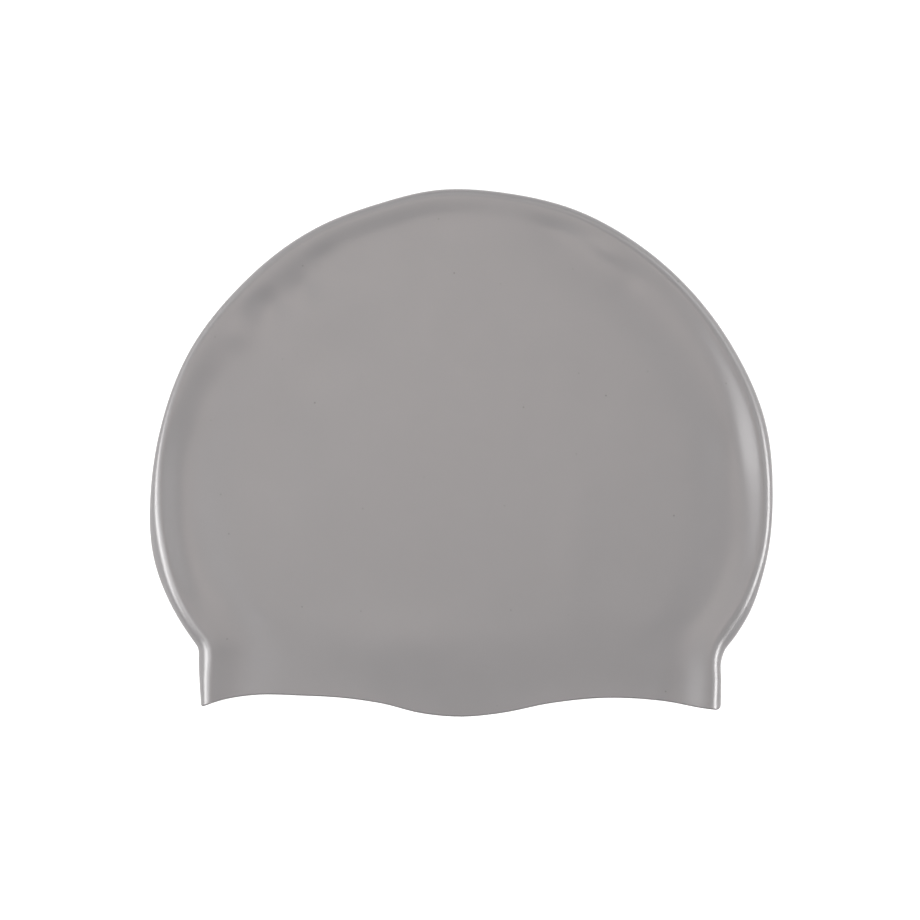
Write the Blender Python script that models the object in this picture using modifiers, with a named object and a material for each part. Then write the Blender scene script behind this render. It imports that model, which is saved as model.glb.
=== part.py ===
"""A moulded silicone swim cap, lying flat on its back, as one thin hollow shell.

Metres, +Z up. The back layer lies on the plane Z = 0, the crown points to +Y and the open
hem to -Y. The two layers are one wall, which turns over in a rounded roll all along the fold.

A place on the fold is a share of half its length: -1 at the left corner of the hem, 0 at
the crown and +1 at the right corner. The shell is a grid with one line across the fold at
each place, from the middle of the front, over the roll, to the middle of the back.
"""
from typing import NamedTuple

import bmesh
import bpy
import numpy as np

# Plan of the cap
CAP_WIDTH = 0.224
DOME_RISE = 0.113         # from the widest level up to the crown
SKIRT_DEPTH = 0.077       # from the widest level down to the lowest point of the hem
SKIRT_OVERRUN = 0.019     # how far below the hem the skirt's curve would close
NECK_WIDTH = 0.1872       # across the short straight neck above the hem
NECK_BLEND = 0.0010       # softens the inner corner between skirt and neck
HEM_WAVE = 0.0076         # from the lowest to the highest point of the hem
LEFT_CORNER_ROUND = 0.0008   # rounding of the roll's end at the hem's left corner
RIGHT_CORNER_ROUND = 0.0018
CORNER_REACH = 0.0084     # how far up the fold that rounding is felt
BACK_HEM_STEP = 0.0010    # how far the back layer's hem stays behind the front's

# Section of the cap
WALL = 0.0008
ROLL_HEIGHT = 0.0096      # outside height of the roll along the fold
ROLL_WIDTH = 0.0042       # from the edge of the fold in to the crest of the roll
LEAN_POWER = 6            # the higher it is, the less of the flank moves with the lean
FACE_LEVEL = 0.0070       # outside height of the front layer inside the roll
SETTLE_WIDTH = 0.0062     # length over which the front settles from crest to face
SETTLE_POWER = 1.5
PILLOW_RISE = 0.0007      # how far the face swells up towards its middle
PILLOW_START = 0.012      # from the edge of the fold in to where the swelling begins
PILLOW_WIDTH = 0.020      # length over which it rises
HEM_LIFT = 0.0006         # how far the front layer stands up at the arches of its hem
HEM_LIFT_REACH = 0.022    # how far up the cap that lift is felt
HEM_DROOP = 0.0005        # how far the front layer hangs towards its hem
HEM_DROOP_REACH = 0.030
PUCKER_DEPTH = 0.0006
PUCKER_SPREAD = 0.010
PUCKER_START = 0.007      # length over which a pucker fades in from the crest of the roll

# Where the fold's quarter circles end and the skirt begins, as a share of half the fold
DOME_END = 0.70

# Faces along the fold and across it
DOME_STEPS = 72
SKIRT_STEPS = 15
ROLL_STEPS = 8
FRONT_STEPS = 15
BACK_STEPS = 9
FRONT_CROWDING = 1.9      # more than 1 puts the lines closer together near the roll
BACK_CROWDING = 1.3

SQUARE_TO_FOLD = 0.040    # within this of the fold the grid's lines turn square to it
TANGENT_STEP = 0.002
MERGE_DISTANCE = 0.000005

SILICONE_COLOUR = (0.33, 0.32, 0.32, 1.0)
SILICONE_ROUGHNESS = 0.38


class Swell(NamedTuple):
    """How far the outline stands outside its plain curve, as a share of half the width."""
    place: float
    out: float


class HemPoint(NamedTuple):
    """Rise of the hem above its lowest point, as a share of HEM_WAVE."""
    across: float             # -1 at the left edge, 0 in the middle, +1 at the right edge
    rise: float


class Roll(NamedTuple):
    """The roll at a place on the fold.

    Width and lean are shares of ROLL_WIDTH, height is one of ROLL_HEIGHT and settle one of
    SETTLE_WIDTH. The lean is how much further in than its width the crest stands.
    """
    place: float
    width: float
    lean: float
    height: float
    settle: float


class Pucker(NamedTuple):
    """A dent in the front layer; a negative depth is a raised fold."""
    place: float
    inset: float              # from the edge, in PUCKER_SPREADs
    along: float              # half length along the fold, in PUCKER_SPREADs
    inward: float             # half length across the fold, in PUCKER_SPREADs
    depth: float              # share of PUCKER_DEPTH


SWELLS = [
    Swell(-1.00, 0.003), Swell(-0.94, 0.011), Swell(-0.91, 0.010), Swell(-0.86, 0.012),
    Swell(-0.79, 0.012), Swell(-0.70, 0.001), Swell(-0.60, -0.005), Swell(-0.47, -0.002),
    Swell(-0.37, -0.008), Swell(-0.22, -0.0075), Swell(-0.12, -0.0105), Swell(-0.04, -0.001),
    Swell(0.07, -0.003), Swell(0.17, 0.002), Swell(0.28, 0.000), Swell(0.47, 0.002),
    Swell(0.58, 0.0085), Swell(0.72, -0.002), Swell(0.80, 0.005), Swell(0.88, 0.018),
    Swell(0.908, 0.015), Swell(0.93, -0.002), Swell(0.96, -0.002), Swell(1.00, -0.003),
]

HEM_POINTS = [
    HemPoint(-1.00, 0.45), HemPoint(-0.92, 0.73), HemPoint(-0.80, 0.95),
    HemPoint(-0.62, 1.00), HemPoint(-0.42, 0.85), HemPoint(-0.30, 0.62),
    HemPoint(-0.16, 0.18), HemPoint(0.00, 0.00), HemPoint(0.15, 0.17),
    HemPoint(0.34, 0.64), HemPoint(0.58, 0.90), HemPoint(0.78, 0.72),
    HemPoint(0.92, 0.42), HemPoint(1.00, 0.31),
]

ROLLS = [
    Roll(-1.00, 0.95, -0.05, 0.84, 1.0), Roll(-0.97, 1.02, 0.02, 0.85, 1.0),
    Roll(-0.93, 1.04, 0.20, 0.86, 1.0), Roll(-0.90, 1.04, 0.07, 0.90, 1.2),
    Roll(-0.85, 1.04, 0.10, 0.96, 1.0), Roll(-0.78, 1.05, 0.27, 1.00, 0.8),
    Roll(-0.70, 1.06, 0.00, 1.01, 0.8), Roll(-0.62, 0.84, -0.13, 0.99, 0.9),
    Roll(-0.50, 0.72, -0.10, 0.94, 1.6), Roll(-0.35, 0.74, -0.02, 0.91, 1.8),
    Roll(-0.18, 0.76, 0.00, 0.86, 1.1), Roll(0.00, 0.76, 0.00, 0.82, 0.9),
    Roll(0.20, 0.78, 0.00, 0.82, 0.9), Roll(0.35, 0.86, 0.00, 0.86, 0.9),
    Roll(0.50, 0.94, -0.03, 0.96, 0.9), Roll(0.62, 1.04, -0.06, 1.03, 0.95),
    Roll(0.70, 0.98, -0.13, 0.99, 0.95), Roll(0.78, 1.00, -0.09, 0.95, 0.9),
    Roll(0.85, 1.05, 0.13, 0.92, 1.0), Roll(0.90, 1.08, 0.22, 0.92, 1.0),
    Roll(0.93, 1.00, 0.04, 0.93, 1.2), Roll(1.00, 1.06, 0.05, 0.93, 1.3),
]

PUCKERS = [
    Pucker(-0.51, 1.30, 0.9, 0.7, 0.5), Pucker(-0.41, 1.25, 0.6, 0.6, -0.6),
    Pucker(-0.35, 1.29, 0.7, 0.6, 1.3), Pucker(-0.29, 1.55, 0.6, 0.6, 1.1),
    Pucker(-0.23, 1.20, 0.7, 0.55, 0.8), Pucker(-0.10, 0.95, 3.0, 0.5, 0.35),
    Pucker(0.15, 0.95, 1.0, 0.5, 0.9), Pucker(0.235, 0.75, 0.7, 0.35, -0.8),
    Pucker(0.29, 1.30, 0.6, 0.6, 0.4), Pucker(0.62, 1.40, 1.6, 0.7, 0.8),
]


def read_table(rows, column, places):
    """Reads one column of a table at the places asked for, on a cubic through its rows."""
    steps = np.array([row[0] for row in rows])
    values = np.array([getattr(row, column) for row in rows])
    slopes = np.gradient(values, steps)
    low = np.clip(np.searchsorted(steps, places) - 1, 0, len(steps) - 2)
    span = steps[low + 1] - steps[low]
    part = (places - steps[low]) / span
    left = 1.0 - part
    from_low = (1.0 + 2.0 * part) * left**2 * values[low] + part * left**2 * span * slopes[low]
    from_high = (1.0 + 2.0 * left) * part**2 * values[low + 1]
    return from_low + from_high - left * part**2 * span * slopes[low + 1]


def smooth_step(share):
    """Rises from 0 to 1 between the shares 0 and 1, level at both ends."""
    share = np.clip(share, 0.0, 1.0)
    return share * share * (3.0 - 2.0 * share)


def skirt_share(places):
    """How far down the skirt a place lies: 0 at the widest level and above, 1 at the hem."""
    return np.clip((np.abs(places) - DOME_END) / (1.0 - DOME_END), 0.0, 1.0)


def hem_level(across):
    """Height of the hem above the widest level, in plan, so always below zero."""
    return HEM_WAVE * read_table(HEM_POINTS, "rise", across) - SKIRT_DEPTH


def fold_edge(places):
    """Plan of the fold, from the middle of the widest level.

    Above that level it is a quarter of an ellipse on each side. Below it, each side is a
    flatter ellipse that meets the straight neck in a softened inner corner.
    """
    side = np.where(places < 0.0, -1.0, 1.0)
    swell = 1.0 + read_table(SWELLS, "out", places)
    angle = 0.5 * np.pi * (1.0 - np.minimum(np.abs(places) / DOME_END, 1.0))
    dome_x = 0.5 * CAP_WIDTH * swell * np.cos(angle)
    dome_y = DOME_RISE * swell * np.sin(angle)
    down = skirt_share(places)
    skirt_y = hem_level(side) * down
    drop = skirt_y / (SKIRT_DEPTH + SKIRT_OVERRUN)
    bulge = 0.5 * CAP_WIDTH * swell * np.sqrt(1.0 - drop**2)
    neck = 0.5 * NECK_WIDTH * swell
    blend = NECK_BLEND * down
    skirt_x = 0.5 * (bulge + neck + np.sqrt((bulge - neck)**2 + blend**2))
    in_skirt = down > 0.0
    return side * np.where(in_skirt, skirt_x, dome_x), np.where(in_skirt, skirt_y, dome_y)


def inward_normal(places):
    """Unit vectors square to the fold in plan, pointing into the cap."""
    before = fold_edge(np.maximum(places - TANGENT_STEP, -1.0))
    after = fold_edge(np.minimum(places + TANGENT_STEP, 1.0))
    along_x = after[0] - before[0]
    along_y = after[1] - before[1]
    length = np.hypot(along_x, along_y)
    return along_y / length, -along_x / length


def cap_plan(places, inset, line_length):
    """Plan of a point at a distance from the fold, on the grid's line at that place.

    A line leaves the fold square to it and turns towards the middle of the widest level,
    or below that level towards the cap's middle line, where it takes on the hem's wave.
    """
    edge_x, edge_y = fold_edge(places)
    normal_x, normal_y = inward_normal(places)
    down = skirt_share(places)
    side = np.sign(edge_x)
    run_x = np.where(down > 0.0, -side, -edge_x / line_length)
    run_y = np.where(down > 0.0, 0.0, -edge_y / line_length)
    square = 1.0 - smooth_step(inset / SQUARE_TO_FOLD)
    x = edge_x + inset * (run_x + (normal_x - run_x) * square)
    y = edge_y + inset * (run_y + (normal_y - run_y) * square)
    wave = hem_level(side * (1.0 - inset / line_length)) - hem_level(side)
    return x, y + wave * down


def corner_lift(places, inset):
    """How far the end of the roll is rounded back from the corner of the hem."""
    to_hem = (1.0 - skirt_share(places)) * SKIRT_DEPTH
    near_hem = np.clip(1.0 - to_hem / CORNER_REACH, 0.0, 1.0)
    rounding = np.where(places < 0.0, LEFT_CORNER_ROUND, RIGHT_CORNER_ROUND)
    near_edge = np.clip(1.0 - inset / rounding, 0.0, 1.0)
    return rounding * near_hem**2 * (1.0 - np.sqrt(1.0 - near_edge**2))


def pucker_depth(places, inset):
    """Sum of the soft dents that the fold's curve presses into the front layer."""
    fold_length = 0.25 * np.pi * (0.5 * CAP_WIDTH + DOME_RISE) / DOME_END
    depth = np.zeros_like(inset)
    for row in PUCKERS:
        along = (places - row.place) * fold_length / (row.along * PUCKER_SPREAD)
        inward = (inset - row.inset * PUCKER_SPREAD) / (row.inward * PUCKER_SPREAD)
        depth += row.depth * np.exp(-along**2 - inward**2)
    return PUCKER_DEPTH * depth


def crest_inset(places):
    """How far inside the edge of the fold the crest of the roll stands."""
    return ROLL_WIDTH * (read_table(ROLLS, "width", places) + read_table(ROLLS, "lean", places))


def front_height(places, inset, line_length):
    """Outside height of the front layer beyond the crest of the roll.

    It settles from the crest to the face, which swells up a little further in, lifts at
    the hem's arches and hangs towards the hem's middle.
    """
    crest = ROLL_HEIGHT * read_table(ROLLS, "height", places)
    beyond = np.maximum(inset - crest_inset(places), 0.0)
    settle = SETTLE_WIDTH * read_table(ROLLS, "settle", places)
    held_up = np.exp(-(beyond / settle)**SETTLE_POWER)
    across = np.sign(places) * (1.0 - inset / line_length)
    down = skirt_share(places)
    above_hem = (down - 1.0) * hem_level(across)
    arch = read_table(HEM_POINTS, "rise", across)
    lift = HEM_LIFT * arch * down * np.exp(-above_hem / HEM_LIFT_REACH)
    droop = HEM_DROOP * down * (1.0 - smooth_step(above_hem / HEM_DROOP_REACH))
    pillow = PILLOW_RISE * smooth_step((inset - PILLOW_START) / PILLOW_WIDTH)
    face = FACE_LEVEL + (pillow + lift - droop) * (1.0 - held_up)
    dents = pucker_depth(places, inset) * smooth_step(beyond / PUCKER_START)
    return face + (crest - FACE_LEVEL) * held_up - dents


def section_lines():
    """The grid's lines along the fold, from the front's middle to the back's.

    Each is a pair: the angle round the roll, from +90 degrees at the front crest to -90 on
    the back, and the share of the way on from the roll to the cap's middle.
    """
    quarter = 0.5 * np.pi
    front = [(quarter, (step / FRONT_STEPS)**FRONT_CROWDING)
             for step in range(FRONT_STEPS, 0, -1)]
    roll = [(quarter * (1.0 - 2.0 * step / ROLL_STEPS), 0.0) for step in range(ROLL_STEPS + 1)]
    back = [(-quarter, (step / BACK_STEPS)**BACK_CROWDING) for step in range(1, BACK_STEPS + 1)]
    return np.array(front + roll + back)


def fold_places():
    """The places of the grid's lines across the fold, from the left corner to the right."""
    dome = np.linspace(-DOME_END, DOME_END, DOME_STEPS + 1)
    left = np.linspace(-1.0, -DOME_END, SKIRT_STEPS + 1)[:-1]
    return np.concatenate([left, dome, -left[::-1]])


def cap_surface():
    """Corners of the cap's outer surface, by place along the fold and line across it."""
    lines = section_lines()
    places = np.repeat(fold_places()[:, None], len(lines), axis=1)
    angle = np.broadcast_to(lines[:, 0], places.shape)
    onward = np.broadcast_to(lines[:, 1], places.shape)
    edge_x, edge_y = fold_edge(places)
    line_length = np.where(skirt_share(places) > 0.0, np.abs(edge_x), np.hypot(edge_x, edge_y))

    width = ROLL_WIDTH * read_table(ROLLS, "width", places)
    lean = ROLL_WIDTH * read_table(ROLLS, "lean", places)
    round_roll = width * (1.0 - np.cos(angle)) + lean * (1.0 - np.cos(angle)**LEAN_POWER)
    inset = round_roll + (line_length - crest_inset(places)) * onward
    x, y = cap_plan(places, inset, line_length)
    y = y + corner_lift(places, inset)

    behind = smooth_step(-angle / (0.5 * np.pi))
    y = y + BACK_HEM_STEP * behind * skirt_share(places)
    half_height = 0.5 * ROLL_HEIGHT * read_table(ROLLS, "height", places)
    on_roll = half_height * (1.0 + np.sin(angle))
    on_front = front_height(places, inset, line_length)
    z = np.where((onward > 0.0) & (angle > 0.0), on_front, on_roll)
    return np.stack([x, y, z], axis=2)


def centred(corners):
    """Moves the surface so that its box stands centred over the origin."""
    low = corners.min(axis=(0, 1))
    high = corners.max(axis=(0, 1))
    shift = 0.5 * (low + high)
    shift[2] = low[2]
    return corners - shift


def silicone():
    """Satin silver-grey silicone rubber."""
    material = bpy.data.materials.new("silicone")
    material.use_nodes = True
    shader = material.node_tree.nodes["Principled BSDF"]
    shader.inputs["Base Color"].default_value = SILICONE_COLOUR
    shader.inputs["Roughness"].default_value = SILICONE_ROUGHNESS
    shader.inputs["Metallic"].default_value = 0.0
    return material


def cap_mesh(corners):
    """Lays a flat grid over the surface and closes it along the middle of each layer."""
    along = corners.shape[0] - 1
    across = corners.shape[1] - 1
    grid = bmesh.new()
    bmesh.ops.create_grid(grid, x_segments=along, y_segments=across, size=1.0)
    for corner in grid.verts:
        column = round(0.5 * (corner.co.x + 1.0) * along)
        line = round(0.5 * (corner.co.y + 1.0) * across)
        corner.co = corners[column, line]
    bmesh.ops.remove_doubles(grid, verts=grid.verts, dist=MERGE_DISTANCE)
    mesh = bpy.data.meshes.new("cap")
    grid.to_mesh(mesh)
    grid.free()
    mesh.shade_smooth()
    return mesh


def build_cap(collection):
    """Gives the surface its wall, inwards, and leaves the hem open."""
    cap = bpy.data.objects.new("cap", cap_mesh(centred(cap_surface())))
    cap.data.materials.append(silicone())
    collection.objects.link(cap)
    wall = cap.modifiers.new("wall", "SOLIDIFY")
    wall.thickness = WALL
    wall.offset = -1.0
    wall.use_even_offset = True
    wall.use_rim = True
    return cap


def main():
    for leftover in list(bpy.data.objects):
        bpy.data.objects.remove(leftover)
    collection = bpy.data.collections.new("swim_cap")
    bpy.context.scene.collection.children.link(collection)
    build_cap(collection)


main()
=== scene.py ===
"""A silver-grey silicone swim cap lying flat on a white sweep, seen from straight above.

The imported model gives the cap's box. Its surface is worked out again here on a fine grid,
with the settling of the front layer, the puckers inside the fold, the shallow swales of
the face and the rounded hem.
Lengths are metres, +Z is up, the crown points to +Y and the open hem to -Y.
"""
from __future__ import annotations

import logging
from dataclasses import dataclass, field
from enum import Enum
from typing import NamedTuple, Sequence

import bpy
import numpy as np
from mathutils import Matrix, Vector


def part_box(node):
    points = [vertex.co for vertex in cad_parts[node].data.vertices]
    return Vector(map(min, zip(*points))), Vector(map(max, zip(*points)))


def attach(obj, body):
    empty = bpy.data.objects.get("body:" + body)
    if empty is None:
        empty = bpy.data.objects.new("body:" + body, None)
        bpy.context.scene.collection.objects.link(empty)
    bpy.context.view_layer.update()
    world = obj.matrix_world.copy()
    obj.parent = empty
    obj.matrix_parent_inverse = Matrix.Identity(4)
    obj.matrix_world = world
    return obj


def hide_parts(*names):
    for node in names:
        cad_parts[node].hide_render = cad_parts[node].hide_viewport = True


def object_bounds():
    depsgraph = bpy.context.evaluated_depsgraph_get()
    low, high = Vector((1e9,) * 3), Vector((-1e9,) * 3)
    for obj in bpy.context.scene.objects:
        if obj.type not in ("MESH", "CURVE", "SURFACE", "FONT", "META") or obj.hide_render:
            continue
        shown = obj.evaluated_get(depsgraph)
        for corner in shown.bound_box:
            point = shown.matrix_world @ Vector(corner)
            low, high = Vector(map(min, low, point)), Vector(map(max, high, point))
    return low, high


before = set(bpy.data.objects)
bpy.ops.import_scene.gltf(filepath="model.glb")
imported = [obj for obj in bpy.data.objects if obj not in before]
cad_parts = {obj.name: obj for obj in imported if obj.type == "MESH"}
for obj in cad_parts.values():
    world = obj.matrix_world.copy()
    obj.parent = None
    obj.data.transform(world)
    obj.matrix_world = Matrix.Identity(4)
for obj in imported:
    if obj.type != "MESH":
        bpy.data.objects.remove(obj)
CAD_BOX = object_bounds()

LOG = logging.getLogger("swim_cap")

# The photograph's frame, in its own pixels
PHOTO_SIDE = 920
PHOTO_CAP_CENTRE = (461.1, 452.5)
PHOTO_CAP_WIDTH = 622.6

WHITE = (1.0, 1.0, 1.0, 1.0)


class Swell(NamedTuple):
    """How far the outline stands outside its plain curve, as a share of half the width."""

    place: float
    out: float


class HemPoint(NamedTuple):
    """Rise of the hem above its lowest point, as a share of the hem's wave.

    Across runs from -1 at the left corner to 1 at the right one.
    """

    across: float
    rise: float


class Roll(NamedTuple):
    """The roll at a place: its width, the lean of its flank as a share of the roll's width,
    its height, and the length over which the front layer settles beyond it.
    """

    place: float
    width: float
    lean: float
    height: float
    settle: float


class Pucker(NamedTuple):
    """A soft dent by the fold; a negative depth is a raised fold.

    Its inset and its two half lengths count in pucker spreads, and its depth in pucker
    depths.
    """

    place: float
    inset: float
    along: float
    inward: float
    depth: float


class Swale(NamedTuple):
    """A broad shallow dent of the face; a negative depth is a swelling.

    Its middle and its two half lengths are shares of the cap's width, and its depth counts
    in swale depths.
    """

    x: float
    y: float
    wide: float
    high: float
    depth: float


SWELLS = (
    Swell(-1.00, 0.003), Swell(-0.94, 0.011), Swell(-0.91, 0.010), Swell(-0.86, 0.012),
    Swell(-0.79, 0.012), Swell(-0.70, 0.001), Swell(-0.60, -0.005), Swell(-0.47, -0.002),
    Swell(-0.37, -0.008), Swell(-0.22, -0.0075), Swell(-0.12, -0.0105), Swell(-0.04, -0.001),
    Swell(0.07, -0.003), Swell(0.17, 0.002), Swell(0.28, 0.000), Swell(0.47, 0.002),
    Swell(0.58, 0.0085), Swell(0.72, -0.002), Swell(0.80, 0.005), Swell(0.88, 0.018),
    Swell(0.908, 0.015), Swell(0.93, -0.002), Swell(0.96, -0.002), Swell(1.00, -0.003),
)

HEM_POINTS = (
    HemPoint(-1.00, 0.45), HemPoint(-0.92, 0.73), HemPoint(-0.80, 0.95),
    HemPoint(-0.62, 1.00), HemPoint(-0.42, 0.85), HemPoint(-0.30, 0.62),
    HemPoint(-0.16, 0.18), HemPoint(0.00, 0.00), HemPoint(0.15, 0.17),
    HemPoint(0.34, 0.64), HemPoint(0.58, 0.90), HemPoint(0.78, 0.72),
    HemPoint(0.92, 0.42), HemPoint(1.00, 0.31),
)

ROLLS = (
    Roll(-1.00, 0.95, -0.05, 0.84, 1.0), Roll(-0.97, 1.02, 0.02, 0.85, 1.0),
    Roll(-0.93, 1.04, 0.20, 0.86, 1.0), Roll(-0.90, 1.04, 0.07, 0.90, 1.2),
    Roll(-0.85, 1.04, 0.10, 0.96, 1.0), Roll(-0.78, 1.05, 0.27, 1.00, 0.8),
    Roll(-0.70, 1.06, 0.00, 1.01, 0.8), Roll(-0.62, 0.84, -0.13, 0.99, 0.9),
    Roll(-0.50, 0.72, -0.10, 0.94, 1.6), Roll(-0.35, 0.74, -0.02, 0.91, 1.8),
    Roll(-0.18, 0.76, 0.00, 0.86, 1.1), Roll(0.00, 0.76, 0.00, 0.82, 0.9),
    Roll(0.20, 0.78, 0.00, 0.82, 0.9), Roll(0.35, 0.86, 0.00, 0.86, 0.9),
    Roll(0.50, 0.94, -0.03, 0.96, 0.9), Roll(0.62, 1.04, -0.06, 1.03, 0.95),
    Roll(0.70, 0.98, -0.13, 0.99, 0.95), Roll(0.78, 1.00, -0.09, 0.95, 0.9),
    Roll(0.85, 1.05, 0.13, 0.92, 1.0), Roll(0.90, 1.08, 0.22, 0.92, 1.0),
    Roll(0.93, 1.00, 0.04, 0.93, 1.2), Roll(1.00, 1.06, 0.05, 0.93, 1.3),
)

PUCKERS = (
    Pucker(-0.51, 1.30, 0.9, 0.7, 0.5), Pucker(-0.41, 1.25, 0.6, 0.6, -0.6),
    Pucker(-0.35, 1.29, 0.7, 0.6, 1.3), Pucker(-0.29, 1.55, 0.6, 0.6, 1.1),
    Pucker(-0.23, 1.20, 0.7, 0.55, 0.8), Pucker(-0.10, 0.95, 3.0, 0.5, 0.35),
    Pucker(0.15, 0.95, 1.0, 0.5, 0.9), Pucker(0.235, 0.75, 0.7, 0.35, -0.8),
    Pucker(0.29, 1.30, 0.6, 0.6, 0.4), Pucker(0.62, 1.40, 1.6, 0.7, 0.8),
)

SWALES = (
    Swale(0.18, -0.085, 0.035, 0.12, -0.45), Swale(-0.10, -0.228, 0.09, 0.05, -0.7),
    Swale(0.37, -0.43, 0.06, 0.07, -1.2), Swale(0.17, -0.42, 0.12, 0.05, 1.0),
    Swale(-0.30, -0.40, 0.07, 0.05, 0.8), Swale(0.335, -0.34, 0.045, 0.12, 1.0),
    Swale(-0.29, 0.10, 0.06, 0.10, 0.8), Swale(-0.20, 0.24, 0.07, 0.07, 0.9),
)


def smooth_step(share: np.ndarray) -> np.ndarray:
    """Rise from 0 to 1 between the shares 0 and 1: three squares less two cubes.

    Args:
        share: Any numbers; those outside 0 to 1 are held at its ends.

    Returns:
        Numbers from 0 to 1, level at both ends.
    """
    held = np.clip(share, 0.0, 1.0)
    return held * held * (3.0 - 2.0 * held)


def read_table(rows: Sequence[NamedTuple], column: str, places: np.ndarray) -> np.ndarray:
    """Read one column of a table on a cubic through its rows.

    Between two rows the value is the cubic that meets both values, with each row's slope
    taken from its neighbours.

    Args:
        rows: The table, in rising order of its first column.
        column: The name of the column to read.
        places: Where to read it, in the first column's units.

    Returns:
        One value for each place.
    """
    steps = np.array([row[0] for row in rows])
    values = np.array([getattr(row, column) for row in rows])
    slopes = np.gradient(values, steps)
    low = np.clip(np.searchsorted(steps, places) - 1, 0, len(steps) - 2)
    span = steps[low + 1] - steps[low]
    part = (places - steps[low]) / span
    left = 1.0 - part
    from_low = (1.0 + 2.0 * part) * left**2 * values[low] + part * left**2 * span * slopes[low]
    from_high = (1.0 + 2.0 * left) * part**2 * values[low + 1]
    return from_low + from_high - left * part**2 * span * slopes[low + 1]


@dataclass(frozen=True)
class GridLines:
    """How many faces the cap's grid has, and where its lines crowd together.

    One more line runs just inside the hem, so that the hem's rounding starts sharply.
    """

    dome: int = 292
    skirt: int = 52
    roll: int = 22
    front: int = 72
    back: int = 24
    front_crowding: float = 1.75
    back_crowding: float = 1.5
    hem_round: int = 6
    hem_ring: float = 0.00015


@dataclass(frozen=True)
class CapSizes:
    """The cap's own sizes as the photograph shows them, its lengths in metres."""

    width: float
    height: float
    wall: float = 0.0008
    dome_rise: float = 0.113
    skirt_overrun: float = 0.019
    neck_width: float = 0.1872
    neck_blend: float = 0.0010
    hem_wave: float = 0.0076
    corner_rounds: tuple[float, float] = (0.0008, 0.0018)
    corner_reach: float = 0.0084
    back_hem_step: float = 0.0010
    roll_height: float = 0.0096
    roll_width: float = 0.0042
    lean_power: int = 6
    face_level: float = 0.0070
    settle_width: float = 0.0062
    settle_power: float = 1.5
    pillow_rise: float = 0.0007
    pillow_start: float = 0.012
    pillow_width: float = 0.020
    hem_lift: float = 0.0006
    hem_lift_reach: float = 0.022
    hem_droop: float = 0.0008
    hem_droop_reach: float = 0.030
    pucker_depth: float = 0.0006
    pucker_spread: float = 0.010
    pucker_start: float = 0.007
    swale_depth: float = 0.0006
    square_to_fold: float = 0.040
    dome_end: float = 0.70

    @property
    def skirt_depth(self) -> float:
        """Length from the widest level down to the lowest point of the hem."""
        return self.height - self.dome_rise

    @property
    def fold_length(self) -> float:
        """Length of half the fold, from the crown to a corner of the hem.

        It is the dome's quarter turn at its mean radius, over the dome's share of the places.
        """
        return 0.25 * np.pi * (0.5 * self.width + self.dome_rise) / self.dome_end


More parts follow.
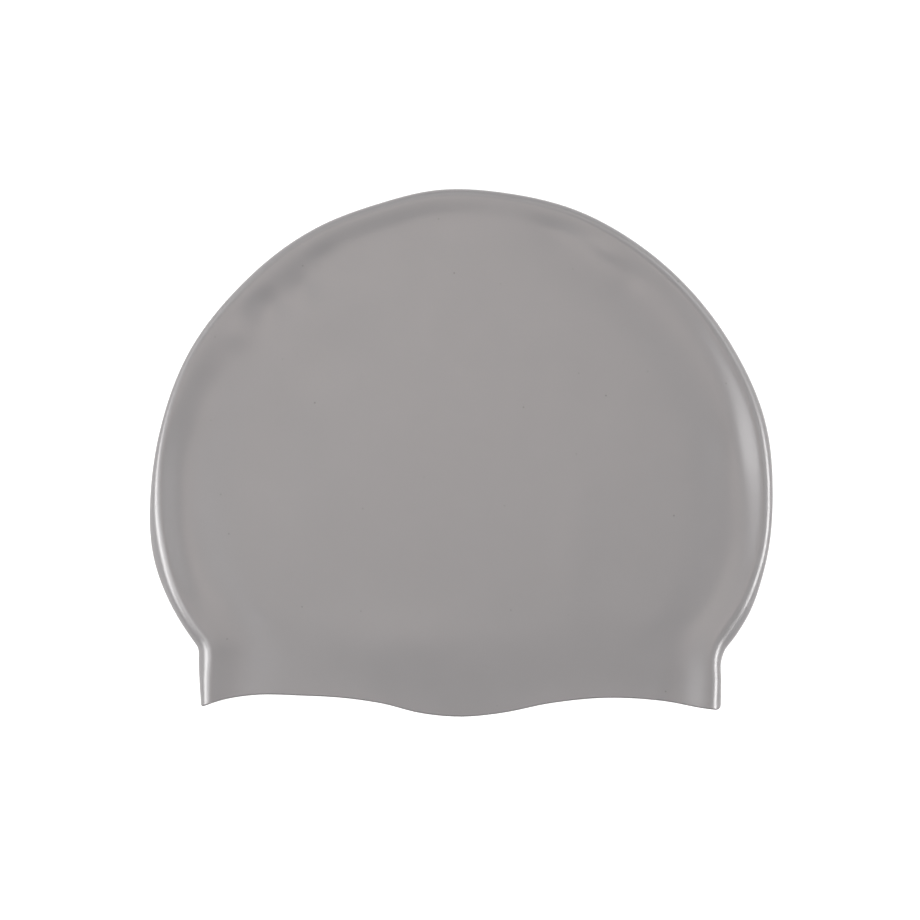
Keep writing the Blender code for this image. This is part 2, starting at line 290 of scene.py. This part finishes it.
@dataclass
class CapForm:
    """The cap's surface as a function of two parameters.

    One is the place along the fold: -1 at the left corner of the hem, 0 at the crown and
    +1 at the right corner. The other is the inset: the length in plan from the edge of the
    fold towards the middle of the cap.
    """

    sizes: CapSizes
    tangent_step: float = 0.0005

    def skirt_share(self, places: np.ndarray) -> np.ndarray:
        """Give 0 at the widest level and above it, rising evenly to 1 at the hem."""
        end = self.sizes.dome_end
        return np.clip((np.abs(places) - end) / (1.0 - end), 0.0, 1.0)

    def hem_level(self, across: np.ndarray) -> np.ndarray:
        """Give the hem's height in plan from the widest level, which is below zero."""
        rise = read_table(HEM_POINTS, "rise", across)
        return self.sizes.hem_wave * rise - self.sizes.skirt_depth

    def fold_edge(self, places: np.ndarray) -> tuple[np.ndarray, np.ndarray]:
        """Give the plan of the fold, from the middle of the widest level.

        Above that level each side is a quarter ellipse. Below it, each side is a flatter
        ellipse that meets the straight neck. The inner corner between them is softened by
        half the sum of the two, plus the root of their difference squared and the blend
        squared. The swell table moves it in or out.

        Args:
            places: Places along the fold.

        Returns:
            The x and y of each place.
        """
        sizes = self.sizes
        side = np.where(places < 0.0, -1.0, 1.0)
        swell = 1.0 + read_table(SWELLS, "out", places)
        angle = 0.5 * np.pi * (1.0 - np.minimum(np.abs(places) / sizes.dome_end, 1.0))
        dome_x = 0.5 * sizes.width * swell * np.cos(angle)
        dome_y = sizes.dome_rise * swell * np.sin(angle)
        down = self.skirt_share(places)
        skirt_y = self.hem_level(side) * down
        drop = skirt_y / (sizes.skirt_depth + sizes.skirt_overrun)
        bulge = 0.5 * sizes.width * swell * np.sqrt(1.0 - drop**2)
        neck = 0.5 * sizes.neck_width * swell
        blend = sizes.neck_blend * down
        skirt_x = 0.5 * (bulge + neck + np.sqrt((bulge - neck)**2 + blend**2))
        in_skirt = down > 0.0
        return side * np.where(in_skirt, skirt_x, dome_x), np.where(in_skirt, skirt_y, dome_y)

    def inward_normal(self, places: np.ndarray) -> tuple[np.ndarray, np.ndarray]:
        """Give the unit vector square to the fold in plan, pointing into the cap.

        It is the step from just before a place to just after it, turned by a quarter turn.

        Args:
            places: Places along the fold.

        Returns:
            The x and y of each vector.
        """
        before = self.fold_edge(np.maximum(places - self.tangent_step, -1.0))
        after = self.fold_edge(np.minimum(places + self.tangent_step, 1.0))
        along_x = after[0] - before[0]
        along_y = after[1] - before[1]
        length = np.hypot(along_x, along_y)
        return along_y / length, -along_x / length

    def line_length(self, places: np.ndarray) -> np.ndarray:
        """Give the length in plan from the fold to the middle of the cap.

        In the dome that is the way to the middle of the widest level, and in the skirt the
        way across to the cap's middle line.

        Args:
            places: Places along the fold.

        Returns:
            The length at each place.
        """
        edge_x, edge_y = self.fold_edge(places)
        in_skirt = self.skirt_share(places) > 0.0
        return np.where(in_skirt, np.abs(edge_x), np.hypot(edge_x, edge_y))

    def plan(self, places: np.ndarray, inset: np.ndarray) -> tuple[np.ndarray, np.ndarray]:
        """Give the plan of the points at an inset from the fold.

        A line leaves the fold square to it and turns, by a smooth step, towards the middle
        of the widest level. Below that level it runs level to the cap's middle line, and
        its share of the hem's wave grows evenly down to the hem.

        Args:
            places: Places along the fold.
            inset: Insets from the fold, of the same shape.

        Returns:
            The x and y of each point, from the middle of the widest level.
        """
        edge_x, edge_y = self.fold_edge(places)
        normal_x, normal_y = self.inward_normal(places)
        length = self.line_length(places)
        down = self.skirt_share(places)
        side = np.sign(edge_x)
        run_x = np.where(down > 0.0, -side, -edge_x / length)
        run_y = np.where(down > 0.0, 0.0, -edge_y / length)
        square = 1.0 - smooth_step(inset / self.sizes.square_to_fold)
        x = edge_x + inset * (run_x + (normal_x - run_x) * square)
        y = edge_y + inset * (run_y + (normal_y - run_y) * square)
        wave = self.hem_level(side * (1.0 - inset / length)) - self.hem_level(side)
        return x, y + wave * down

    def corner_lift(self, places: np.ndarray, inset: np.ndarray) -> np.ndarray:
        """Give how far the roll's end is rounded back at the hem.

        It follows a quarter circle over the inset, times the square of the nearness to the
        hem. The left corner of the hem has a smaller rounding than the right one.

        Args:
            places: Places along the fold.
            inset: Insets from the fold, of the same shape.

        Returns:
            How far each point moves towards the crown.
        """
        sizes = self.sizes
        rounding = np.where(places < 0.0, *sizes.corner_rounds)
        to_hem = (1.0 - self.skirt_share(places)) * sizes.skirt_depth
        near_hem = np.clip(1.0 - to_hem / sizes.corner_reach, 0.0, 1.0)
        near_edge = np.clip(1.0 - inset / rounding, 0.0, 1.0)
        return rounding * near_hem**2 * (1.0 - np.sqrt(1.0 - near_edge**2))

    def puckers(self, places: np.ndarray, inset: np.ndarray) -> np.ndarray:
        """Sum the soft dents by the fold, each a bell of two half lengths.

        Args:
            places: Places along the fold.
            inset: Insets from the fold, of the same shape.

        Returns:
            The depth at each point.
        """
        sizes = self.sizes
        depth = np.zeros_like(inset)
        for row in PUCKERS:
            along = (places - row.place) * sizes.fold_length / (row.along * sizes.pucker_spread)
            inward = (inset / sizes.pucker_spread - row.inset) / row.inward
            depth += row.depth * np.exp(-along**2 - inward**2)
        return sizes.pucker_depth * depth

    def swales(self, x: np.ndarray, y: np.ndarray) -> np.ndarray:
        """Sum the broad dents of the face, each a bell of two half lengths over the plan.

        Args:
            x: Positions across the cap, from the middle of the widest level.
            y: Positions towards the crown, of the same shape.

        Returns:
            The depth at each point.
        """
        depth = np.zeros_like(x)
        for row in SWALES:
            over_x = (x / self.sizes.width - row.x) / row.wide
            over_y = (y / self.sizes.width - row.y) / row.high
            depth += row.depth * np.exp(-over_x**2 - over_y**2)
        return self.sizes.swale_depth * depth

    def crest_inset(self, places: np.ndarray) -> np.ndarray:
        """Give the inset of the roll's crest: its width and its lean together."""
        width = read_table(ROLLS, "width", places)
        return self.sizes.roll_width * (width + read_table(ROLLS, "lean", places))

    def front_height(self, places: np.ndarray, inset: np.ndarray) -> np.ndarray:
        """Give the outside height of the front layer beyond the crest of the roll.

        From the crest it settles to the face's level as the exponential of minus the
        length, over the settling length, to a power. Further in the face swells up like a
        pillow, by a smooth step. It lifts at the hem's arches, droops along the whole hem, and
        sinks by the puckers and swales.

        Args:
            places: Places along the fold.
            inset: Insets from the fold, of the same shape.

        Returns:
            The height of each point above the floor.
        """
        sizes = self.sizes
        crest = sizes.roll_height * read_table(ROLLS, "height", places)
        beyond = np.maximum(inset - self.crest_inset(places), 0.0)
        settle = sizes.settle_width * read_table(ROLLS, "settle", places)
        held_up = np.exp(-(beyond / settle)**sizes.settle_power)
        across = np.sign(places) * (1.0 - inset / self.line_length(places))
        down = self.skirt_share(places)
        above_hem = (down - 1.0) * self.hem_level(across)
        arch = read_table(HEM_POINTS, "rise", across)
        lift = sizes.hem_lift * arch * down * np.exp(-above_hem / sizes.hem_lift_reach)
        droop = sizes.hem_droop * down * (1.0 - smooth_step(above_hem / sizes.hem_droop_reach))
        x, y = self.plan(places, inset)
        pillow = smooth_step((inset - sizes.pillow_start) / sizes.pillow_width)
        swell = sizes.pillow_rise * pillow + lift - droop - self.swales(x, y)
        face = sizes.face_level + swell * (1.0 - held_up)
        dents = self.puckers(places, inset) * smooth_step(beyond / sizes.pucker_start)
        return face + (crest - sizes.face_level) * held_up - dents

    def surface(self, places: np.ndarray, angle: np.ndarray, onward: np.ndarray) -> np.ndarray:
        """Give points of the outer surface.

        Round the roll the section is half an ellipse: the inset is its width times one
        less the cosine of the angle, and the height is half its height times one plus the
        sine. The lean moves all but the flank inwards: it grows as one less a high power of
        the cosine. Onward from the roll the inset grows evenly to the middle of the cap.

        Args:
            places: Places along the fold.
            angle: Angle round the roll, from a quarter turn on the front to minus that.
            onward: Share of the way on from the roll to the middle of the cap.

        Returns:
            Points, with x, y and z along the last axis.
        """
        sizes = self.sizes
        width = sizes.roll_width * read_table(ROLLS, "width", places)
        lean = sizes.roll_width * read_table(ROLLS, "lean", places)
        inset = width * (1.0 - np.cos(angle)) + lean * (1.0 - np.cos(angle)**sizes.lean_power)
        inset = inset + (self.line_length(places) - self.crest_inset(places)) * onward
        x, y = self.plan(places, inset)
        behind = smooth_step(-angle / (0.5 * np.pi))
        y = y + self.corner_lift(places, inset)
        y = y + (sizes.back_hem_step * behind + 0.5 * sizes.wall) * self.skirt_share(places)
        half_height = 0.5 * sizes.roll_height * read_table(ROLLS, "height", places)
        on_roll = half_height * (1.0 + np.sin(angle))
        on_front = self.front_height(places, inset)
        z = np.where((onward > 0.0) & (angle > 0.0), on_front, on_roll)
        return np.stack([x, y, z], axis=-1)


@dataclass(frozen=True)
class NodeBench:
    """A node tree being wired up."""

    tree: bpy.types.NodeTree

    def add(self, kind: str, inputs: dict[str | int, object], **options: object) -> bpy.types.Node:
        """Add a node.

        Args:
            kind: The node's type in Blender.
            inputs: Values for its sockets, by name or number.
            options: Its settings, such as operation.

        Returns:
            The new node.
        """
        node = self.tree.nodes.new(kind)
        for name, value in options.items():
            setattr(node, name, value)
        for socket, value in inputs.items():
            node.inputs[socket].default_value = value
        return node

    def join(self, source: bpy.types.Node, output: str | int, target: bpy.types.Node,
             socket: str | int) -> None:
        """Lead one node's output to another's socket."""
        self.tree.links.new(source.outputs[output], target.inputs[socket])

    def rescaled(self, source: bpy.types.Node, output: str | int, span: tuple[float, float],
                 onto: tuple[float, float]) -> bpy.types.Node:
        """Carry an output from one span of numbers onto another, held at its ends.

        Args:
            source: The node to read.
            output: Which of its outputs.
            span: The lowest and highest number expected.
            onto: What they become.

        Returns:
            The node that gives the result.
        """
        ends = {"From Min": span[0], "From Max": span[1], "To Min": onto[0], "To Max": onto[1]}
        node = self.add("ShaderNodeMapRange", ends, clamp=True)
        self.join(source, output, node, "Value")
        return node


@dataclass(frozen=True)
class SatinSilicone:
    """Silver-grey silicone rubber: a satin skin with faint clouds, grain and a few specks.

    The clouds and the grain are noises on the object's own coordinates. The specks are
    grains of dust, one in each cell of a random pattern in plan. A cell whose own random
    number is below the first of speck_lots has none, and the others are darker the higher
    it is. A speck is full up to its core and fades out at its rim, both in speck radii.
    """

    name: str = "silicone_silver"
    grey: tuple[float, float, float] = (0.0880, 0.0846, 0.0858)
    silver: float = 0.15
    roughness: float = 0.31
    ior: float = 1.41
    noise_span: tuple[float, float] = (0.30, 0.70)
    cloud_size: float = 0.016
    cloud_detail: float = 4.0
    cloud_change: float = 0.010
    grain_size: float = 0.0007
    grain_detail: float = 2.0
    grain_change: float = 0.007
    grain_depth: float = 0.000003
    satin_size: float = 0.011
    satin_detail: float = 3.0
    satin_change: float = 0.020
    speck_spacing: float = 0.026
    speck_radius: float = 0.00034
    speck_core: float = 0.5
    speck_rim: float = 1.2
    speck_lots: tuple[float, float] = (0.35, 1.0)
    speck_dark: float = 0.45

    def material(self) -> bpy.types.Material:
        """Build the node material.

        Returns:
            The finished material.
        """
        made = bpy.data.materials.new(self.name)
        made.use_nodes = True
        bench = NodeBench(made.node_tree)
        shader = made.node_tree.nodes["Principled BSDF"]
        shader.inputs["Metallic"].default_value = self.silver
        shader.inputs["IOR"].default_value = self.ior
        place = bench.add("ShaderNodeTexCoord", {})
        grain = self.noise(bench, place, self.grain_size, self.grain_detail)
        self.colour(bench, place, grain, shader)
        satin = self.noise(bench, place, self.satin_size, self.satin_detail)
        low, high = self.roughness - self.satin_change, self.roughness + self.satin_change
        roughness = bench.rescaled(satin, 0, self.noise_span, (low, high))
        bench.join(roughness, 0, shader, "Roughness")
        bump = bench.add("ShaderNodeBump", {"Strength": 1.0, "Distance": self.grain_depth})
        bench.join(grain, 0, bump, "Height")
        bench.join(bump, 0, shader, "Normal")
        return made

    def noise(self, bench: NodeBench, place: bpy.types.Node, size: float,
              detail: float) -> bpy.types.Node:
        """Add a noise on the object's coordinates.

        Args:
            bench: The material's tree.
            place: The coordinates.
            size: About how large its spots are.
            detail: How many finer layers it has.

        Returns:
            The noise's node.
        """
        node = bench.add("ShaderNodeTexNoise", {"Scale": 1.0 / size, "Detail": detail})
        bench.join(place, "Object", node, "Vector")
        return node

    def colour(self, bench: NodeBench, place: bpy.types.Node, grain: bpy.types.Node,
               shader: bpy.types.Node) -> None:
        """Lead the grey, times the clouds, the grain and the specks, to the shader.

        Args:
            bench: The material's tree.
            place: The coordinates.
            grain: The fine noise, which the bump shares.
            shader: The shader whose base colour it sets.
        """
        clouds = self.noise(bench, place, self.cloud_size, self.cloud_detail)
        cloudy = bench.rescaled(clouds, 0, self.noise_span,
                                (1.0 - self.cloud_change, 1.0 + self.cloud_change))
        grainy = bench.rescaled(grain, 0, self.noise_span,
                                (1.0 - self.grain_change, 1.0 + self.grain_change))
        specks = self.specks(bench, place)
        both = bench.add("ShaderNodeMath", {}, operation="MULTIPLY")
        bench.join(cloudy, 0, both, 0)
        bench.join(grainy, 0, both, 1)
        all_three = bench.add("ShaderNodeMath", {}, operation="MULTIPLY")
        bench.join(both, 0, all_three, 0)
        bench.join(specks, 0, all_three, 1)
        grey = bench.add("ShaderNodeVectorMath", {0: self.grey}, operation="SCALE")
        bench.join(all_three, 0, grey, "Scale")
        bench.join(grey, 0, shader, "Base Color")

    def specks(self, bench: NodeBench, place: bpy.types.Node) -> bpy.types.Node:
        """Give 1 between the specks and less on them, by each cell's own random darkness.

        Args:
            bench: The material's tree.
            place: The coordinates.

        Returns:
            The node that gives the factor.
        """
        cells = bench.add("ShaderNodeTexVoronoi", {"Scale": 1.0 / self.speck_spacing},
                          voronoi_dimensions="2D")
        bench.join(place, "Object", cells, "Vector")
        radius = self.speck_radius / self.speck_spacing
        fade = (self.speck_core * radius, self.speck_rim * radius)
        on_speck = bench.rescaled(cells, "Distance", fade, (1.0, 0.0))
        lot = bench.add("ShaderNodeSeparateColor", {})
        bench.join(cells, "Color", lot, 0)
        darkness = bench.rescaled(lot, 0, self.speck_lots, (0.0, self.speck_dark))
        loss = bench.add("ShaderNodeMath", {}, operation="MULTIPLY")
        bench.join(on_speck, 0, loss, 0)
        bench.join(darkness, 0, loss, 1)
        kept = bench.add("ShaderNodeMath", {0: 1.0}, operation="SUBTRACT")
        bench.join(loss, 0, kept, 1)
        return kept


@dataclass
class SwimCap:
    """The whole cap: one moulded wall, turned over in a roll along the fold."""

    sizes: CapSizes
    lines: GridLines = field(default_factory=GridLines)
    finish: SatinSilicone = field(default_factory=SatinSilicone)

    def section_lines(self) -> np.ndarray:
        """Lay out the grid's lines along the fold, from the front's middle to the back's.

        Their share onward crowds towards the roll, by a power of even steps.

        Returns:
            Each line's angle round the roll and its share onward, along the last axis.
        """
        lines = self.lines
        quarter = 0.5 * np.pi
        front = np.linspace(1.0, 0.0, lines.front + 1)[:-1]**lines.front_crowding
        roll = np.linspace(quarter, -quarter, lines.roll + 1)
        back = np.linspace(0.0, 1.0, lines.back + 1)[1:]**lines.back_crowding
        angle = np.concatenate([np.full(lines.front, quarter), roll, np.full(lines.back, -quarter)])
        onward = np.concatenate([front, np.zeros(lines.roll + 1), back])
        return np.stack([angle, onward], axis=-1)

    def fold_places(self) -> np.ndarray:
        """Lay out the grid's lines across the fold, from the left corner to the right one.

        Returns:
            Their places along the fold.
        """
        end = self.sizes.dome_end
        ring = (1.0 - end) * self.lines.hem_ring / self.sizes.skirt_depth
        left = np.linspace(-1.0, -end, self.lines.skirt + 1)[:-1]
        left = np.concatenate([[-1.0, ring - 1.0], left[1:]])
        dome = np.linspace(-end, end, self.lines.dome + 1)
        return np.concatenate([left, dome, -left[::-1]])

    def corner_numbers(self, shape: tuple[int, int]) -> np.ndarray:
        """Number the grid's points, once for points that lie together.

        Both halves of the skirt meet along the middle of each layer, and all the lines of
        the dome meet in one point of it.

        Args:
            shape: Number of places and of lines.

        Returns:
            The number of each point of the grid.
        """
        numbers = np.arange(shape[0] * shape[1]).reshape(shape)
        skirt = self.lines.skirt + 1
        for line in (0, -1):
            numbers[skirt:shape[0] - skirt, line] = numbers[skirt, line]
            numbers[shape[0] - skirt:, line] = numbers[:skirt, line][::-1]
        return numbers

    def skin_faces(self, numbers: np.ndarray) -> np.ndarray:
        """Give the grid's faces, wound so that they face outwards, as rows of four."""
        corners = (numbers[:-1, :-1], numbers[1:, :-1], numbers[1:, 1:], numbers[:-1, 1:])
        return np.stack(corners, axis=-1).reshape(-1, 4)

    def point_normals(self, points: np.ndarray, faces: np.ndarray) -> np.ndarray:
        """Average the faces' normals at each point.

        A face's normal is the cross product of its diagonals, so a large face counts more.

        Args:
            points: The points of the skin.
            faces: Rows of the four points of each face.

        Returns:
            A unit vector for each point, or zero where no face meets it.
        """
        first = points[faces[:, 2]] - points[faces[:, 0]]
        second = points[faces[:, 3]] - points[faces[:, 1]]
        cross = np.cross(first, second)
        total = np.zeros_like(points)
        for corner in range(4):
            np.add.at(total, faces[:, corner], cross)
        length = np.linalg.norm(total, axis=1, keepdims=True)
        return total / np.where(length > 0.0, length, 1.0)

    def build(self) -> bpy.types.Object:
        """Work out the skin, give it its wall and rounded hem, and make the object.

        The inner skin is the outer one moved back along its normals by the wall. Round the
        hem a half circle of the wall's width joins the two.

        Returns:
            The finished cap.
        """
        section = self.section_lines()
        places = np.repeat(self.fold_places()[:, None], len(section), axis=1)
        angle = np.broadcast_to(section[:, 0], places.shape)
        onward = np.broadcast_to(section[:, 1], places.shape)
        outer = CapForm(self.sizes).surface(places, angle, onward)
        numbers = self.corner_numbers(places.shape)
        faces = self.skin_faces(numbers)
        points = outer.reshape(-1, 3)
        normals = self.point_normals(points, faces)
        inner = points - self.sizes.wall * normals
        inner_faces = faces[:, ::-1] + len(points)

        loop = np.concatenate([numbers[0, :-1], numbers[-1, :0:-1]])
        behind = np.concatenate([numbers[1, :-1], numbers[-2, :0:-1]])
        hem_points, hem_faces = self.hem_edge(points, normals, loop, behind)
        everything = np.concatenate([points, inner, hem_points])
        all_faces = np.concatenate([faces, inner_faces, hem_faces])
        return self.make_object(self.in_place(everything), all_faces)

    def hem_edge(
        self,
        points: np.ndarray,
        normals: np.ndarray,
        loop: np.ndarray,
        behind: np.ndarray,
    ) -> tuple[np.ndarray, np.ndarray]:
        """Round the hem with a half circle from the outer skin to the inner one.

        Args:
            points: The outer skin's points.
            normals: Their normals.
            loop: Numbers of the points round the hem.
            behind: Numbers of the points one row in from them.

        Returns:
            The new points, and the faces of the whole rounding.
        """
        half_wall = 0.5 * self.sizes.wall
        out = points[loop] - points[behind]
        out -= np.sum(out * normals[loop], axis=1, keepdims=True) * normals[loop]
        out /= np.linalg.norm(out, axis=1, keepdims=True)
        turn = np.linspace(0.0, np.pi, self.lines.hem_round + 1)[1:-1, None, None]
        centre = points[loop] - half_wall * normals[loop]
        rows = centre + half_wall * (np.cos(turn) * normals[loop] + np.sin(turn) * out)
        first = 2 * len(points)
        new = first + np.arange(rows.shape[0] * len(loop)).reshape(rows.shape[0], -1)
        numbers = np.concatenate([loop[None], new, loop[None] + len(points)])
        after = np.roll(numbers, -1, axis=1)
        corners = (after[:-1], numbers[:-1], numbers[1:], after[1:])
        return rows.reshape(-1, 3), np.stack(corners, axis=-1).reshape(-1, 4)

    def in_place(self, points: np.ndarray) -> np.ndarray:
        """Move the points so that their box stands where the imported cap's box stands.

        Args:
            points: All points of the cap.

        Returns:
            The moved points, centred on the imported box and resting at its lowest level.
        """
        low, high = (np.array(corner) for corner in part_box("cap"))
        shift = 0.5 * (low + high) - 0.5 * (points.min(axis=0) + points.max(axis=0))
        shift[2] = low[2] - points[:, 2].min()
        return points + shift

    def make_object(self, points: np.ndarray, faces: np.ndarray) -> bpy.types.Object:
        """Put the used points and the faces into a mesh, smooth and dressed.

        Args:
            points: All points.
            faces: Rows of four numbers; a row with a repeated number is a triangle.

        Returns:
            The object.
        """
        used, renumbered = np.unique(faces, return_inverse=True)
        rows = [list(dict.fromkeys(row)) for row in renumbered.reshape(faces.shape).tolist()]
        mesh = bpy.data.meshes.new("cap_skin")
        mesh.from_pydata(points[used].tolist(), [], rows)
        mesh.validate()
        mesh.shade_smooth()
        mesh.materials.append(self.finish.material())
        cap = bpy.data.objects.new("silicone_cap", mesh)
        bpy.context.scene.collection.objects.link(cap)
        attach(cap, "root")
        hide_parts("cap")
        return cap


class LampShape(Enum):
    """Outline of a soft light, by its name in Blender."""

    SQUARE_CORNERED = "RECTANGLE"
    ROUND = "ELLIPSE"


@dataclass(frozen=True)
class SoftBox:
    """A soft flat light that faces the cap.

    Its bearing is in degrees from +X towards +Y, and its height above the horizon in
    degrees, both seen from the middle of the cap.
    """

    name: str
    bearing: float
    height: float
    distance: float
    wide: float
    tall: float
    radiance: float
    tint: tuple[float, float, float] = (1.0, 1.0, 1.0)
    shape: LampShape = LampShape.ROUND

    def place(self) -> np.ndarray:
        """Give the light's middle: its distance along its bearing and height.

        Returns:
            Its x, y and z.
        """
        turn, rise = np.radians([self.bearing, self.height])
        flat = self.distance * np.cos(rise)
        return np.array([flat * np.cos(turn), flat * np.sin(turn), self.distance * np.sin(rise)])

    def area(self) -> float:
        """Give the light's area, which is a quarter of pi of its box where it is round."""
        share = 0.25 * np.pi if self.shape is LampShape.ROUND else 1.0
        return share * self.wide * self.tall

    def build(self) -> bpy.types.Object:
        """Make the light; its power is its radiance times its area and pi.

        Returns:
            The light's object.
        """
        data = bpy.data.lights.new(self.name, "AREA")
        data.shape = self.shape.value
        data.size = self.wide
        data.size_y = self.tall
        data.energy = self.radiance * self.area() * np.pi
        data.color = self.tint
        lamp = bpy.data.objects.new(self.name, data)
        bpy.context.scene.collection.objects.link(lamp)
        place = self.place()
        lamp.location = place
        lamp.rotation_mode = "QUATERNION"
        lamp.rotation_quaternion = Vector(-place).to_track_quat("-Z", "Y")
        lamp.visible_camera = False
        return lamp


@dataclass
class Studio:
    """The white floor, the soft lights and the camera above."""

    lens: float = 100.0
    sensor: float = 36.0
    fold_level: float = 0.0045
    sky: float = 0.467
    sky_lean: tuple[float, float, float] = (0.08, 0.18, 0.0)
    horizon_glow: float = 0.50
    glow_top: float = 0.60
    floor_half: float = 6.0
    floor_grey: float = 0.36
    floor_roughness: float = 0.9
    floor_gloss: float = 0.1
    floor_glow: float = 0.65
    boxes: tuple[SoftBox, ...] = (
        SoftBox("left_box", 190.0, 31.0, 1.5, 1.12, 0.70, 20.0),
        SoftBox("left_panel", 191.0, 56.0, 1.5, 0.95, 0.60, 5.0,
                shape=LampShape.SQUARE_CORNERED),
        SoftBox("front_panel", 222.0, 58.0, 1.5, 1.00, 0.40, 5.0,
                shape=LampShape.SQUARE_CORNERED),
        SoftBox("left_wing", 154.0, 20.0, 1.6, 1.10, 0.80, 4.5,
                shape=LampShape.SQUARE_CORNERED),
        SoftBox("right_box", -9.0, 24.0, 1.5, 1.12, 0.66, 22.0),
        SoftBox("right_panel", 2.0, 60.0, 1.5, 0.80, 0.60, 2.1,
                shape=LampShape.SQUARE_CORNERED),
        SoftBox("right_wing", 32.0, 17.0, 1.6, 1.10, 0.66, 5.0,
                shape=LampShape.SQUARE_CORNERED),
        SoftBox("overhead_box", 106.0, 77.0, 1.34, 0.52, 0.90, 3.1, (1.0, 0.90, 0.84),
                shape=LampShape.SQUARE_CORNERED),
        SoftBox("back_bank", 90.0, 32.0, 1.6, 2.60, 1.10, 2.1,
                shape=LampShape.SQUARE_CORNERED),
    )

    def build(self) -> None:
        """Make the floor, the sky, the lights and the camera."""
        self.floor()
        self.sky_light()
        for box in self.boxes:
            box.build()
        self.camera()

    def floor(self) -> bpy.types.Object:
        """Lay a plain white table under the cap, lit from below so that shadows stay faint.

        Returns:
            The floor's object.
        """
        half = self.floor_half
        corners = [(-half, -half, 0.0), (half, -half, 0.0), (half, half, 0.0), (-half, half, 0.0)]
        mesh = bpy.data.meshes.new("floor")
        mesh.from_pydata(corners, [], [(0, 1, 2, 3)])
        made = bpy.data.materials.new("floor_white")
        made.use_nodes = True
        shader = made.node_tree.nodes["Principled BSDF"]
        grey = self.floor_grey
        shader.inputs["Base Color"].default_value = (grey, grey, grey, 1.0)
        shader.inputs["Roughness"].default_value = self.floor_roughness
        shader.inputs["Specular IOR Level"].default_value = self.floor_gloss
        shader.inputs["Emission Color"].default_value = WHITE
        shader.inputs["Emission Strength"].default_value = self.floor_glow
        mesh.materials.append(made)
        floor = bpy.data.objects.new("floor", mesh)
        bpy.context.scene.collection.objects.link(floor)
        return floor

    def sky_light(self) -> None:
        """Surround the scene with white light, stronger towards the crown and low down.

        Its strength is the sky's own, plus the direction's share along the lean, plus a
        glow that fades evenly from the horizon up.
        """
        world = bpy.data.worlds.new("white_tent")
        world.use_nodes = True
        bench = NodeBench(world.node_tree)
        background = world.node_tree.nodes["Background"]
        background.inputs["Color"].default_value = WHITE
        towards = bench.add("ShaderNodeTexCoord", {})
        lean = bench.add("ShaderNodeVectorMath", {1: self.sky_lean}, operation="DOT_PRODUCT")
        bench.join(towards, "Generated", lean, 0)
        strength = bench.add("ShaderNodeMath", {1: self.sky}, operation="ADD")
        bench.join(lean, "Value", strength, 0)
        upward = bench.add("ShaderNodeSeparateXYZ", {})
        bench.join(towards, "Generated", upward, 0)
        glow = bench.rescaled(upward, "Z", (0.0, self.glow_top), (self.horizon_glow, 0.0))
        total = bench.add("ShaderNodeMath", {}, operation="ADD")
        bench.join(strength, 0, total, 0)
        bench.join(glow, 0, total, 1)
        bench.join(total, 0, background, "Strength")
        bpy.context.scene.world = world

    def camera(self) -> bpy.types.Object:
        """Hang the camera over the cap so that it fills the frame as in the photograph.

        The frame's side at the fold's level is the cap's width times the photograph's side
        over the cap's width in pixels, and the height follows from the lens.

        Returns:
            The camera's object.
        """
        low, high = CAD_BOX
        pixel = (high[0] - low[0]) / PHOTO_CAP_WIDTH
        side = pixel * PHOTO_SIDE
        data = bpy.data.cameras.new("camera")
        data.lens = self.lens
        data.sensor_width = self.sensor
        camera = bpy.data.objects.new("camera", data)
        bpy.context.scene.collection.objects.link(camera)
        across = 0.5 * (low[0] + high[0]) + (0.5 * PHOTO_SIDE - PHOTO_CAP_CENTRE[0]) * pixel
        up = 0.5 * (low[1] + high[1]) - (0.5 * PHOTO_SIDE - PHOTO_CAP_CENTRE[1]) * pixel
        camera.location = (across, up, self.fold_level + side * self.lens / self.sensor)
        bpy.context.scene.camera = camera
        return camera


def main() -> None:
    """Build the cap and its studio."""
    logging.basicConfig(level=logging.INFO, format="%(message)s")
    bpy.context.scene.view_settings.view_transform = "Standard"
    low, high = CAD_BOX
    cap = SwimCap(CapSizes(width=high[0] - low[0], height=high[1] - low[1])).build()
    LOG.info("%s: %d faces", cap.name, len(cap.data.polygons))
    Studio().build()
    bpy.context.view_layer.update()


if __name__ == "__main__":
    main()
